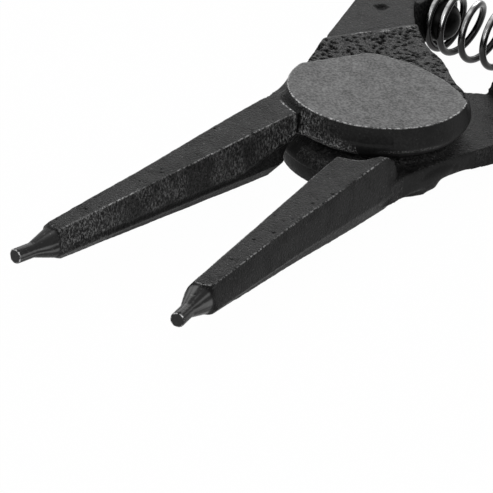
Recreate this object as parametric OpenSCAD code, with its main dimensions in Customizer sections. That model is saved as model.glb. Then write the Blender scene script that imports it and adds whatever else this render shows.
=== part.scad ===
// Circlip pliers with straight round tips, lying at rest with the tips apart.
// Millimetres, +Z up. The origin is where the pivot axis meets the face the pliers lie on.
// The tips point to -Y and the handles to +Y. Each half is drawn with its jaw along the centre
// line, as the upper half on the left, and is then turned to rest. The lower half is the same
// forging turned over about the centre line.

/* [Joint] */
// Thickness of the joint over both ground faces
joint_t = 9.4; // [8.6:0.1:10.6]
// Radius of the ground face about the pivot
face_r = 11; // [10.2:0.1:12]
// Distance from the pivot to the straight side of the upper ground face
face_side = 9.5; // [8.8:0.1:9.9]
// Distance from the pivot to the straight side of the lower ground face
low_face_side = 8.5; // [8:0.1:9.5]
// Distance from the pivot to the crown of the ground face's back edge
face_back = 8.7; // [8:0.1:9.4]
// Height of the ground face above the forged skin behind it
face_step = 1; // [0.6:0.1:1.4]
// Depth of the hollow in the forged skin beside the ground face
side_sag = 0.5; // [0.3:0.05:0.7]
// How far the forged wall of the joint swells beyond the ground face
wall_bulge = 0.7; // [0.3:0.1:1]
// Gap between the rubbing faces of the two halves
lap_gap = 0.04; // [0.02:0.01:0.1]
// Gap between a jaw's heel and the other half's joint wall
heel_gap = 0.9; // [0.7:0.1:1.4]
// Radius of the recess that lets the other half swing
recess_r = 18.9; // [18:0.1:19.5]
// Diameter of the rivet's shank
rivet_d = 6; // [4.5:0.1:7]
// Running clearance between the rivet and the upper half, on the radius
rivet_clear = 0.05; // [0.02:0.01:0.1]

/* [Jaws] */
// Distance from the pivot to the end of a tip
tip_reach = 58.8; // [52:0.1:66]
// Diameter of a tip's pin
pin_d = 1.8; // [1.4:0.05:2]
// Length of a tip's pin
pin_len = 2.6; // [2:0.1:3.4]
// Gap between the two pins with the jaws along the centre line
pin_gap = 0.2; // [0.1:0.05:0.5]
// Length of the turned cone behind a pin
cone_len = 3.3; // [2.8:0.1:3.6]
// Diameter of the cone at its thick end
cone_d = 3.8; // [3.4:0.1:4]
// Width of a jaw's flat where its cone starts
jaw_end_w = 2.3; // [2.1:0.1:2.8]
// Height of a jaw where its cone starts
jaw_end_t = 3.9; // [3.7:0.1:4.3]
// Width of a jaw's flat at the joint
jaw_root_w = 4.45; // [4:0.05:5.2]
// Gap between the jaws at the joint with the jaws along the centre line
jaw_root_gap = 3.8; // [3:0.1:4.6]
// How far a jaw's sides swell between its flats
jaw_swell = 0.7; // [0.5:0.05:0.8]
// How far a jaw's flat lies below the ground face at the joint
jaw_drop = 0.5; // [0.3:0.1:1]

/* [Handles] */
// Distance from the pivot to the start of a handle
arm_len = 30.6; // [29:0.1:34]
// Bearing of the handle's start, from the centre line
arm_angle = 40.5; // [38:0.5:44]
// Distance from the pivot to the ridge where the handle's section starts
ridge_reach = 16.8; // [16:0.1:18]
// Width of the steel handle
handle_w = 7; // [6.5:0.1:8]
// Thickness of the steel handle
handle_t = 6.6; // [6:0.1:7]
// Direction of the handle's start, from the centre line
handle_splay = 37; // [34:0.5:40]
// Radius of the handle's bow next to the spring
bow_r = 70; // [55:1:90]
// Turn of the handle through its bow
bow_turn = 11; // [9:0.5:13]
// Radius of the long sweep under the grip
sweep_r = 230; // [200:5:260]
// Turn of the handle through its sweep
sweep_turn = 20; // [17:0.5:21]
// Width of a grip
grip_w = 12.4; // [11:0.1:14]

/* [Spring] */
// Length of the spring between its two seats
spring_len = 23; // [21:0.5:25]
// Outer diameter of the coil
coil_d = 8.1; // [8:0.1:9]
// Diameter of the wire
wire_d = 0.9; // [0.7:0.05:0.95]
// Number of turns
coil_turns = 8.6; // [7:0.1:9.5]
// Diameter of the spring's seat on the arm
seat_d = 9.6; // [9.2:0.1:10.4]
// Diameter of a peg's rounded head
peg_head_d = 5.6; // [5:0.1:5.8]
// Length of a peg in front of its seat
peg_len = 3.7; // [3:0.1:4.4]
// Diameter of a peg's riveted tail
peg_tail_d = 3; // [2.4:0.1:3.4]

/* [Pose] */
// Angle of each half at rest, from the jaw along the centre line
rest_angle = 10.1; // [8:0.1:12]

/* [Hidden] */
$fn = 96;

// Past any edge of the piece, for cuts
beyond = 40;
// Clean overlap of two shapes that join
lap = 0.4;

// Heights of the joint, from its middle plane
half_t = joint_t / 2;
rub_z = lap_gap / 2;
skin_z = half_t - face_step;
rim_z = 1;
bulge_z = 2.1;
wall_r = face_r + wall_bulge;
// The rubbing face stops short of the wall, and a relief runs out from there
relief_w = 1.6;
rub_r = face_r - relief_w;

// Ground face: one straight side, a crowned back edge and a rounded corner between them
side_angle = 161.5;
back_r = 17;
back_end_angle = 25;
corner_r = 1.6;
side_n = [cos(side_angle), sin(side_angle)];
side_t = [sin(side_angle), -cos(side_angle)];
back_c = [0, face_back - back_r];
// The hollow is deepest a little way off the face and runs out before the ridge
hollow_off = 1.8;
hollow_land = 0.6;

// Rivet: both heads are countersunk and ground flush
rivet_r = rivet_d / 2;
head_h = 1.3;
head_r = rivet_r + head_h;

// Tips
pin_r = pin_d / 2;
pin_x = -(pin_gap / 2 + pin_r);
cone_y = -tip_reach + pin_len;
jaw_end_y = cone_y + cone_len;
cone_r = cone_d / 2;

// Jaw sections grow from the cone to the root, six corners each, and keep that height into the joint
jaw_root_len = 3;
jaw_root_y = -face_r - jaw_root_len;
jaw_foot_y = -face_r / 2;
jaw_root_top = half_t - jaw_drop;
jaw_root_low = -2.9;
jaw_end_gap = 0.12;
// The jaw flares out where it runs into the joint
root_flare = 0.7;

// Heel: the jaw's back end leans away from the other half's wall
heel_lean = 0.7;
heel_knee_z = -1.6;
heel_r = wall_r + heel_gap;
heel_knee_r = heel_r + heel_lean;
heel_out = 3.5;
heel_drop = 3;

// Handle: the bow starts at the arm, and the sweep goes on from the bow
function ahead(a) = [-sin(a), cos(a)];
function aside(a) = [cos(a), sin(a)];
arm_end = arm_len * ahead(arm_angle);
bow_c = arm_end + bow_r * aside(handle_splay);
bow_end_a = handle_splay - bow_turn;
bow_end = bow_c - bow_r * aside(bow_end_a);
sweep_c = bow_end + sweep_r * aside(bow_end_a);
sweep_end_a = bow_end_a - sweep_turn;
sweep_end = sweep_c - sweep_r * aside(sweep_end_a);
handle_corner = 2.4;
// The steel is a little slimmer inside the grip
tang_step = 0.3;
tang_w = handle_w - 2 * tang_step;
tang_t = handle_t - 2 * tang_step;
tang_run_in = 0.5;
tang_short = 1;
tang_start_a = bow_end_a + tang_run_in;
tang_end_a = sweep_end_a + tang_short;

// Arm in plan: its outer edge runs straight from the jaw's root past the joint to the handle
arm_foot = [-6.6, -face_r - jaw_root_len];
arm_hip = [-12.4, 0.4];
arm_tip = arm_end + lap * ahead(handle_splay);
crotch_a = 57;
knee = 15.7 * ahead(14.4);
inner_sag = 1.2;
// The recess under the arm lies below the rubbing face, and its end leans back
floor_z = 0.8;
recess_lean = 1.5;

// Grips are as thick as the joint, so that the pliers lie flat
grip_t = joint_t;
grip_corner = 4;
grip_fit = 0.02;
dome_spare = 0.15;
dome_r = norm([grip_w / 2 - grip_corner, grip_t / 2 - grip_corner]) + grip_corner + dome_spare;
dome_turn = 2 * dome_r / sweep_r * 180 / PI;

// Spring and its seats: both face along X at rest
function turned(p, a) = [p.x * cos(a) - p.y * sin(a), p.x * sin(a) + p.y * cos(a)];
seat_turn = 4.5;
seat_at = bow_c - bow_r * aside(handle_splay - seat_turn);
seat_rest = turned(seat_at, -rest_angle);
spring_y = seat_rest.y;
seat_x = -spring_len / 2;
// The seats stay a little below the flats of the handles
seat_step = 0.2;
seat_t = handle_t - 2 * seat_step;
coil_r = (coil_d - wire_d) / 2;
coil_gap = 0.05;
closed_pitch = wire_d * 1.5;
peg_lip = 0.6;
peg_neck_d = peg_head_d - 2 * peg_lip;
peg_tail_len = 4;

// Helpers

function arc(c, r, from_a, to_a, n) = [
    for (i = [0:n])
        let (a = from_a + (to_a - from_a) * i / n)
        c + r * [cos(a), sin(a)]
];

// Points of a flat curve from a to b that sags to the left of its chord
function sagged(a, b, sag, n) = [
    for (i = [0:n])
        let (t = i / n)
        let (across = [a.y - b.y, b.x - a.x] / norm(b - a))
        a + (b - a) * t + across * 4 * sag * t * (1 - t)
];

module rounded_box(w, h, r) {
    square([w - 2 * r, h], center = true);
    square([w, h - 2 * r], center = true);
    for (sx = [-1, 1], sy = [-1, 1])
        translate([sx * (w / 2 - r), sy * (h / 2 - r)])
            circle(r);
}

// Sweeps a section along an arc about c, from one heading to another
module sweep_arc(c, r, from_a, to_a)
    translate(c)
        rotate(180 + to_a)
            rotate_extrude(angle = from_a - to_a)
                translate([r, 0])
                    children();

// Skins a row of rings that have the same number of corners
module skin(rings) {
    n = len(rings[0]);
    last = len(rings) - 1;
    sides = [
        for (i = [0:last - 1], j = [0:n - 1])
            [i * n + j, i * n + (j + 1) % n, (i + 1) * n + (j + 1) % n, (i + 1) * n + j]
    ];
    caps = [[for (j = [n - 1:-1:0]) j], [for (j = [0:n - 1]) last * n + j]];
    polyhedron([for (ring = rings) each ring], concat(sides, caps));
}

// Forged half

module joint_disc()
    rotate_extrude()
        polygon([
            [0, rub_z], [rub_r, rub_z], [face_r, rim_z], [wall_r, bulge_z], [face_r, half_t], [0, half_t]
        ]);

// Outline of the ground face behind the joint's front, with its straight side at a given reach
function face_outline(reach) =
    let (from = side_n * (reach - corner_r) - back_c)
    let (along = -from * side_t + sqrt(pow(from * side_t, 2) - from * from + pow(back_r - corner_r, 2)))
    let (c = back_c + from + side_t * along)
    let (turn = atan2(c.y - back_c.y, c.x - back_c.x))
    concat(
        [side_n * reach - side_t * beyond],
        arc(c, corner_r, side_angle, turn, 12),
        arc(back_c, back_r, turn, back_end_angle, 24),
        [[beyond, -beyond]]
    );

// Hollow along the straight side of the ground face
module side_hollow(reach) {
    low = reach + hollow_off;
    r = (pow(ridge_reach - hollow_land - low, 2) + pow(side_sag, 2)) / (2 * side_sag);
    rotate(side_angle)
        translate([low, 0, skin_z - side_sag + r])
            rotate([90, 0, 0])
                cylinder(r = r, h = 2 * beyond, center = true);
}

// What is taken off round the face: down to the forged skin, and the hollow beside it
module face_surround(reach)
    difference() {
        union() {
            translate([0, 0, skin_z])
                cylinder(r = beyond, h = half_t);
            side_hollow(reach);
        }
        linear_extrude(joint_t)
            polygon(face_outline(reach));
    }

// Corners of the jaw's section: flats above and below, and sides that swell at the parting line
function jaw_ring(y, flare = 0) =
    let (k = (y - jaw_end_y) / (jaw_root_y - jaw_end_y))
    let (grown = min(1, k))
    let (top = jaw_end_t / 2 + grown * (jaw_root_top - jaw_end_t / 2))
    let (low = -jaw_end_t / 2 + grown * (jaw_root_low + jaw_end_t / 2))
    let (inner = -(jaw_end_gap + k * (jaw_root_gap - jaw_end_gap)) / 2)
    let (outer = inner - jaw_end_w - k * (jaw_root_w - jaw_end_w) - flare)
    [
        [inner, y, top], [outer, y, top], [outer - jaw_swell, y, top / 2],
        [outer, y, low], [inner, y, low], [inner + jaw_swell, y, low / 2]
    ];

module jaw_bar()
    skin([jaw_ring(cone_y - lap), jaw_ring(jaw_root_y), jaw_ring(jaw_foot_y, root_flare)]);

// Turned end: the bar's corners run out into the cone
module jaw()
    difference() {
        jaw_bar();
        translate([pin_x, cone_y, 0])
            rotate([-90, 0, 0])
                rotate_extrude()
                    polygon([
                        [0, -2 * lap], [0, 0], [pin_r, 0], [cone_r, cone_len],
                        [beyond, cone_len + beyond], [beyond, -2 * lap]
                    ]);
    }

module tip_pin()
    translate([pin_x, -tip_reach, 0])
        rotate([-90, 0, 0])
            cylinder(r = pin_r, h = pin_len + lap);

// Room behind the jaw's heel for the other half's joint disc
module heel_room()
    rotate_extrude()
        polygon([
            [0, -beyond], [0, rub_z], [rub_r, rub_z], [face_r, rim_z], [heel_r, rim_z],
            [heel_knee_r, heel_knee_z], [heel_knee_r + heel_out, heel_knee_z - heel_drop],
            [heel_knee_r + heel_out, -beyond]
        ]);

module arm_plan()
    polygon(concat(
        [[0, 0], arm_foot, arm_hip],
        [arm_tip - handle_w / 2 * aside(handle_splay)],
        sagged(arm_tip + handle_w / 2 * aside(handle_splay), knee, -inner_sag, 10),
        [face_r * [cos(crotch_a), sin(crotch_a)]]
    ));

// Thickness of the arm, seen along the straight side of the ground face
module arm_profile()
    rotate(side_angle)
        translate([0, beyond, 0])
            rotate([90, 0, 0])
                linear_extrude(2 * beyond)
                    polygon([
                        [-beyond, -handle_t / 2], [beyond, -handle_t / 2], [beyond, handle_t / 2],
                        [ridge_reach + face_step, handle_t / 2], [ridge_reach, skin_z], [-beyond, skin_z]
                    ]);

// Hollow under the arm, round the pivot, where the other half swings
module recess()
    rotate_extrude()
        polygon([
            [0, -half_t], [0, floor_z], [recess_r, floor_z], [recess_r + recess_lean, -half_t]
        ]);

module arm()
    difference() {
        intersection() {
            translate([0, 0, -half_t])
                linear_extrude(joint_t)
                    arm_plan();
            arm_profile();
        }
        recess();
    }

module handle_bow()
    sweep_arc(bow_c, bow_r, handle_splay, bow_end_a)
        rounded_box(handle_w, handle_t, handle_corner);

// Steel inside the grip
module handle_tang(grow = 0)
    sweep_arc(sweep_c, sweep_r, tang_start_a, tang_end_a)
        rounded_box(tang_w + 2 * grow, tang_t + 2 * grow, handle_corner - tang_step + grow);

// Boss whose end is faced square for the spring
module spring_seat()
    rotate(rest_angle)
        translate([seat_rest.x, spring_y, 0])
            rotate([0, 90, 0])
                intersection() {
                    cylinder(d = seat_d, h = seat_x - seat_rest.x);
                    cube([seat_t, 2 * seat_d, beyond], center = true);
                }

module peg_bore()
    rotate(rest_angle)
        translate([seat_x, spring_y, 0])
            rotate([0, -90, 0])
                translate([0, 0, -lap])
                    cylinder(d = peg_tail_d, h = peg_tail_len + lap);

module forged_half(side_reach)
    difference() {
        union() {
            difference() {
                union() {
                    joint_disc();
                    arm();
                }
                face_surround(side_reach);
            }
            difference() {
                jaw();
                heel_room();
            }
            tip_pin();
            handle_bow();
            handle_tang();
            spring_seat();
        }
        peg_bore();
    }

// Places a piece of the upper half, or turns it over for the lower half
module upper_at_rest()
    translate([0, 0, half_t])
        rotate(-rest_angle)
            children();

module lower_at_rest()
    translate([0, 0, half_t])
        rotate(rest_angle)
            rotate([0, 180, 0])
                children();

module left_half()
    color([0.16, 0.16, 0.17])
        upper_at_rest()
            difference() {
                forged_half(face_side);
                rivet_hole(rivet_clear);
            }

module right_half()
    color([0.16, 0.16, 0.17])
        lower_at_rest()
            difference() {
                forged_half(low_face_side);
                rivet_hole(0);
            }

// Rivet: fixed in the lower half, running in the upper one

module rivet_hole(clear)
    rotate_extrude()
        polygon([
            [0, -lap], [rivet_r + clear, -lap], [rivet_r + clear, half_t - head_h - clear],
            [head_r + clear, half_t - clear], [head_r + clear, half_t + lap], [0, half_t + lap]
        ]);

module pivot_rivet()
    color([0.42, 0.42, 0.43])
        translate([0, 0, half_t])
            rotate_extrude()
                polygon([
                    [0, -half_t], [head_r, -half_t], [rivet_r, -half_t + head_h],
                    [rivet_r, half_t - head_h], [head_r, half_t], [0, half_t]
                ]);

// Spring and pegs

// Way along the coil from its nearer end: closed turns first, then the open pitch
function ramp(e) = e < 1 ? 0 : e < 2 ? pow(e - 1, 2) / 2 : e - 1.5;
coil_half = spring_len / 2 - wire_d / 2 - coil_gap;
open_pitch = closed_pitch + (coil_half - closed_pitch * coil_turns / 2) / (coil_turns / 2 - 1.5);
function coil_way(e) = closed_pitch * e + (open_pitch - closed_pitch) * ramp(e);
function coil_x(t) = t < coil_turns / 2 ? coil_way(t) - coil_half : coil_half - coil_way(coil_turns - t);

module opening_spring()
    color([0.5, 0.5, 0.52])
        translate([0, spring_y, half_t]) {
            steps = ceil(coil_turns * 20);
            sides = 8;
            skin([
                for (i = [0:steps])
                    let (t = coil_turns * i / steps)
                    [for (j = [0:sides - 1])
                        let (b = -360 * j / sides)
                        let (r = coil_r + wire_d / 2 * cos(b))
                        [coil_x(t) + wire_d / 2 * sin(b), r * sin(360 * t), -r * cos(360 * t)]]
            ]);
        }

module spring_peg()
    translate([seat_x, spring_y, half_t])
        rotate([0, 90, 0])
            rotate_extrude()
                polygon(concat(
                    [[0, -peg_tail_len], [peg_tail_d / 2, -peg_tail_len], [peg_tail_d / 2, 0],
                     [peg_neck_d / 2, 0], [peg_neck_d / 2, peg_len - peg_head_d / 2 - lap]],
                    arc([0, peg_len - peg_head_d / 2], peg_head_d / 2, 0, 90, 12)
                ));

module left_spring_peg()
    color([0.2, 0.2, 0.21])
        spring_peg();

module right_spring_peg()
    color([0.2, 0.2, 0.21])
        mirror([1, 0, 0])
            spring_peg();

// Grips

module grip_section()
    rounded_box(grip_w, grip_t, grip_corner);

// Everything past the end of the handle, but for a dome
module past_dome()
    translate(sweep_end)
        rotate(sweep_end_a)
            difference() {
                translate([-beyond, 0, -beyond])
                    cube(2 * beyond);
                sphere(dome_r);
            }

module grip()
    difference() {
        sweep_arc(sweep_c, sweep_r, bow_end_a, sweep_end_a - dome_turn)
            grip_section();
        past_dome();
        handle_tang(grip_fit);
    }

module left_grip()
    color([0.1, 0.1, 0.11])
        upper_at_rest()
            grip();

module right_grip()
    color([0.1, 0.1, 0.11])
        lower_at_rest()
            grip();

left_half();
right_half();
pivot_rivet();
opening_spring();
left_spring_peg();
right_spring_peg();
left_grip();
right_grip();
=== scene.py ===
"""Circlip pliers with straight round tips, dressed as a blackened forging lying on a pale table."""

import logging
import math
from dataclasses import dataclass
from enum import Enum

import bmesh
import bpy
import numpy as np
from mathutils import Matrix, Vector, noise
from mathutils.bvhtree import BVHTree
from mathutils.kdtree import KDTree


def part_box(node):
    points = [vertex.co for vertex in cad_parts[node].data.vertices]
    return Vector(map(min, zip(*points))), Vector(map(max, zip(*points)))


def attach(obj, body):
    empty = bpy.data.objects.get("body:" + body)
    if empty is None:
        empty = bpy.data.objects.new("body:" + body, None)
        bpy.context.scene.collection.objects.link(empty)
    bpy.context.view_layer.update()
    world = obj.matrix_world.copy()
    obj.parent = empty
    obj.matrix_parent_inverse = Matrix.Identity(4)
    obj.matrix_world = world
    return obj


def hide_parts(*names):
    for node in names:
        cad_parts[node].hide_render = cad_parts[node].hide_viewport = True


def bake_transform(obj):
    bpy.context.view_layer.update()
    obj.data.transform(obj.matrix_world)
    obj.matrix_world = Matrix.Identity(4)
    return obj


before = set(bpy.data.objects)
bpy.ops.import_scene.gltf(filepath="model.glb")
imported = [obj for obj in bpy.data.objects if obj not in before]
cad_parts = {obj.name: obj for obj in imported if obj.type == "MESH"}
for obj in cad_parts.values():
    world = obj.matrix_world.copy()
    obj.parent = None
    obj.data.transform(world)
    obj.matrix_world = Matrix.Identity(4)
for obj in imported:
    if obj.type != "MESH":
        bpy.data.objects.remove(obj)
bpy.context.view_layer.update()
log = logging.getLogger("pliers")

# Lengths are in millimetres up to the point where a mesh becomes a piece of the scene, which is in metres
MM = 0.001
JOIN_GAP = 0.001
FAR = 9.0

# Share of the way to its neighbours that a relaxed point goes in one pass
RELAX = 0.5

FULL_TURN = 2 * math.pi
TURNED_OVER = np.diag([-1.0, 1.0, -1.0])
FIELD_STEPS = (7.3, 3.1, 5.7)

Array = np.ndarray
Socket = bpy.types.NodeSocket


class Side(Enum):
    """The two halves: the left one lies on top, the right one below."""

    LEFT = "left"
    RIGHT = "right"

    @property
    def body(self) -> str:
        """The body that the half's pieces ride on."""
        return "upper_half" if self is Side.LEFT else "lower_half"

    @property
    def up(self) -> float:
        """Which way the half's ground face looks."""
        return 1.0 if self is Side.LEFT else -1.0

    @property
    def seed(self) -> int:
        """Start of the half's random draws."""
        return 11 if self is Side.LEFT else 23


class Draw(Enum):
    """The random fields of one half, each with its own place among the draws."""

    LUMPS = 0
    GRAIN = 1
    WEAR = 3
    SCUFFS = 4
    PIT_EDGES = 5
    PIT_SIZES = 6
    FLAKES = 8

    def seed(self, side: Side) -> int:
        """Seed of the field on one half."""
        return side.seed + self.value


def ahead(degrees: float) -> Array:
    """Direction on the ground plane at an angle from Y towards the left."""
    return np.array([-math.sin(math.radians(degrees)), math.cos(math.radians(degrees)), 0.0])


def aside(degrees: float) -> Array:
    """Direction on the ground plane to the right of ahead."""
    return np.array([math.cos(math.radians(degrees)), math.sin(math.radians(degrees)), 0.0])


@dataclass(frozen=True)
class Layout:
    """Sizes of the part in millimetres that more than one piece needs."""

    joint_t: float = 9.4
    face_r: float = 11.0
    face_step: float = 1.0
    rest_angle: float = 10.1
    arm_len: float = 30.6
    arm_angle: float = 40.5
    handle_splay: float = 37.0
    bow_r: float = 70.0
    bow_turn: float = 11.0
    spring_len: float = 23.0
    side_angle: float = 161.5
    ridge_reach: float = 16.8

    @property
    def mid_z(self) -> float:
        """Height of the joint's middle plane."""
        return self.joint_t / 2

    @property
    def grip_mouth(self) -> tuple[Array, Array]:
        """The start of the grip on a handle.

        Returns:
            Its place and which way the handle runs there, in the half's frame.
        """
        start = self.arm_len * ahead(self.arm_angle)
        turn = self.handle_splay - self.bow_turn
        return start + self.bow_r * (aside(self.handle_splay) - aside(turn)), ahead(turn)

    def side_way(self, local: Array) -> Array:
        """How far points of the half lie from the pivot, square to the ground face's straight side."""
        angle = math.radians(self.side_angle)
        return local[:, 0] * math.cos(angle) + local[:, 1] * math.sin(angle)

    def turn(self, side: Side) -> Array:
        """The matrix that turns the part's frame into the half's own frame.

        Args:
            side: The half.

        Returns:
            The matrix, row by row.
        """
        angle = math.radians(self.rest_angle) * side.up
        level = np.array([
            [math.cos(angle), -math.sin(angle), 0],
            [math.sin(angle), math.cos(angle), 0],
            [0, 0, 1],
        ])
        return level if side is Side.LEFT else TURNED_OVER @ level

    def to_half(self, points: Array, side: Side) -> Array:
        """Turns points of the part, in millimetres, into the half's own frame."""
        return (points - np.array([0, 0, self.mid_z])) @ self.turn(side).T

    def to_part(self, points: Array, side: Side) -> Array:
        """Turns points of the half's own frame back into the part's frame."""
        return points @ self.turn(side) + np.array([0, 0, self.mid_z])


LAYOUT = Layout()


# Mesh helpers

def new_piece(name: str, mesh: bpy.types.Mesh, material: bpy.types.Material) -> bpy.types.Object:
    """Makes an object from a mesh and puts it in the scene.

    Args:
        name: Name of the piece.
        mesh: Its mesh, in metres.
        material: Its finish.

    Returns:
        The new object.
    """
    piece = bpy.data.objects.new(name, mesh)
    mesh.materials.clear()
    mesh.materials.append(material)
    mesh.polygons.foreach_set("use_smooth", np.ones(len(mesh.polygons), bool))
    bpy.context.scene.collection.objects.link(piece)
    return piece


def mesh_points(mesh: bpy.types.Mesh) -> Array:
    """Reads the places of a mesh's vertices.

    Args:
        mesh: The mesh.

    Returns:
        Rows of three numbers.
    """
    flat = np.zeros(len(mesh.vertices) * 3)
    mesh.vertices.foreach_get("co", flat)
    return flat.reshape(-1, 3)


def set_points(mesh: bpy.types.Mesh, points: Array) -> None:
    """Moves a mesh's vertices to new places."""
    mesh.vertices.foreach_set("co", points.astype(np.float32).ravel())
    mesh.update()


def mesh_normals(mesh: bpy.types.Mesh) -> Array:
    """Reads the directions of a mesh's vertices.

    Args:
        mesh: The mesh.

    Returns:
        Rows of three numbers.
    """
    flat = np.zeros(len(mesh.vertices) * 3, np.float32)
    mesh.vertex_normals.foreach_get("vector", flat)
    return flat.reshape(-1, 3).astype(float)


def mesh_edges(mesh: bpy.types.Mesh) -> Array:
    """Reads the edges of a mesh.

    Args:
        mesh: The mesh.

    Returns:
        Pairs of vertex numbers.
    """
    flat = np.zeros(len(mesh.edges) * 2, np.int32)
    mesh.edges.foreach_get("vertices", flat)
    return flat.reshape(-1, 2)


def relaxed(points: Array, edges: Array, weight: Array, passes: int) -> Array:
    """Draws each point towards the mean of its neighbours.

    Args:
        points: Vertex places.
        edges: Pairs of vertex numbers.
        weight: How far each point may go in one pass, from 0 to 1.
        passes: Number of passes.

    Returns:
        The new places.
    """
    edges = edges[(weight[edges] > 0).any(axis=1)]
    ends = np.concatenate([edges[:, 0], edges[:, 1]])
    others = np.concatenate([edges[:, 1], edges[:, 0]])
    count = np.maximum(np.bincount(ends, minlength=len(points)), 1)
    moved = points.copy()
    for _ in range(passes):
        total = [np.bincount(ends, weights=moved[others, k], minlength=len(points)) for k in range(3)]
        moved += (np.stack(total, 1) / count[:, None] - moved) * weight[:, None]
    return moved


def rough_field(points: Array, size: float, seed: int) -> Array:
    """Smooth random heights from about -1 to 1.

    Args:
        points: Places in millimetres.
        size: Size of one lump in millimetres.
        seed: Picks another field.

    Returns:
        One height for each place.
    """
    shift = Vector([seed * step for step in FIELD_STEPS])
    return np.array([noise.noise(Vector(p) / size + shift) for p in points])


def set_attribute(mesh: bpy.types.Mesh, name: str, values: Array) -> None:
    """Writes one number for each vertex under a name that the finish reads."""
    mesh.attributes.new(name, "FLOAT", "POINT").data.foreach_set("value", values.astype(np.float32))


def closed_mesh(name: str, bm: bmesh.types.BMesh) -> bpy.types.Mesh:
    """Turns the faces of a closed shape outwards and makes a mesh of it.

    Args:
        name: Name of the mesh.
        bm: The closed shape, which is freed.

    Returns:
        The mesh.
    """
    bmesh.ops.recalc_face_normals(bm, faces=bm.faces)
    mesh = bpy.data.meshes.new(name)
    bm.to_mesh(mesh)
    bm.free()
    return mesh


def lathe(profile: list[tuple[float, float]], steps: int) -> bpy.types.Mesh:
    """Turns a profile about the X axis.

    Args:
        profile: Pairs of place along X and radius. The first and last radius are 0.
        steps: Number of steps round the axis.

    Returns:
        A closed mesh.
    """
    bm = bmesh.new()
    first = bm.verts.new((profile[0][0], 0, 0))
    last = bm.verts.new((profile[-1][0], 0, 0))
    angles = [FULL_TURN * i / steps for i in range(steps)]
    rings = []
    for x, r in profile[1:-1]:
        rings.append([bm.verts.new((x, r * math.cos(a), r * math.sin(a))) for a in angles])
    for i in range(steps):
        j = (i + 1) % steps
        bm.faces.new((first, rings[0][j], rings[0][i]))
        bm.faces.new((last, rings[-1][i], rings[-1][j]))
        for near, far in zip(rings, rings[1:]):
            bm.faces.new((near[i], near[j], far[j], far[i]))
    return closed_mesh("lathe", bm)


def voxel_net(bm: bmesh.types.BMesh, size: float) -> bpy.types.Mesh:
    """Covers a closed mesh with an even net of small faces.

    Args:
        bm: The closed mesh, which is freed.
        size: Size of the net's faces, in the mesh's own unit.

    Returns:
        The net.
    """
    raw = bpy.data.meshes.new("net_source")
    bm.to_mesh(raw)
    bm.free()
    work = bpy.data.objects.new("net_work", raw)
    bpy.context.scene.collection.objects.link(work)
    net = work.modifiers.new("net", "REMESH")
    net.mode = "VOXEL"
    net.voxel_size = size
    graph = bpy.context.evaluated_depsgraph_get()
    mesh = bpy.data.meshes.new_from_object(work.evaluated_get(graph))
    bpy.data.objects.remove(work)
    bpy.data.meshes.remove(raw)
    return mesh


def frame_solid(node: str) -> bmesh.types.BMesh:
    """A copy of the frame's solid in millimetres, with its doubled vertices joined.

    Args:
        node: Name of the frame's node.

    Returns:
        The solid.
    """
    bm = bmesh.new()
    bm.from_mesh(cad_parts[node].data)
    bmesh.ops.transform(bm, matrix=Matrix.Scale(1 / MM, 4), verts=bm.verts)
    bmesh.ops.remove_doubles(bm, verts=bm.verts, dist=JOIN_GAP)
    return bm


# Shares and patches

@dataclass(frozen=True)
class Ease:
    """A span of values over which a share eases between 0 and 1."""

    low: float
    high: float

    def rise(self, value: Array) -> Array:
        """0 below the span and 1 above it."""
        t = np.clip((value - self.low) / (self.high - self.low), 0, 1)
        return t * t * (3 - 2 * t)

    def fall(self, value: Array) -> Array:
        """1 below the span and 0 above it."""
        return 1 - self.rise(value)


@dataclass(frozen=True)
class SkinPatches:
    """Random patches: size in millimetres, middle and spread of their share, and the share's limits."""

    size: float
    middle: float
    spread: float
    low: float
    high: float

    def share(self, places: Array, seed: int) -> Array:
        """The share at places of the part."""
        return np.clip(self.middle + self.spread * rough_field(places, self.size, seed), self.low, self.high)


# Finishes

@dataclass(frozen=True)
class Grain:
    """Random grain: size in millimetres, finer layers, the span of its values in use, and how tall it is."""

    size: float
    detail: float = 3.0
    rough: float = 0.55
    low: float = 0.3
    high: float = 0.7
    tall: float = 1.0


class MixKind(Enum):
    """What a mix node blends: its name for that, and the places of its two inputs and of its output."""

    NUMBERS = ("FLOAT", 2, 3, 0)
    COLOURS = ("RGBA", 6, 7, 2)


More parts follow.
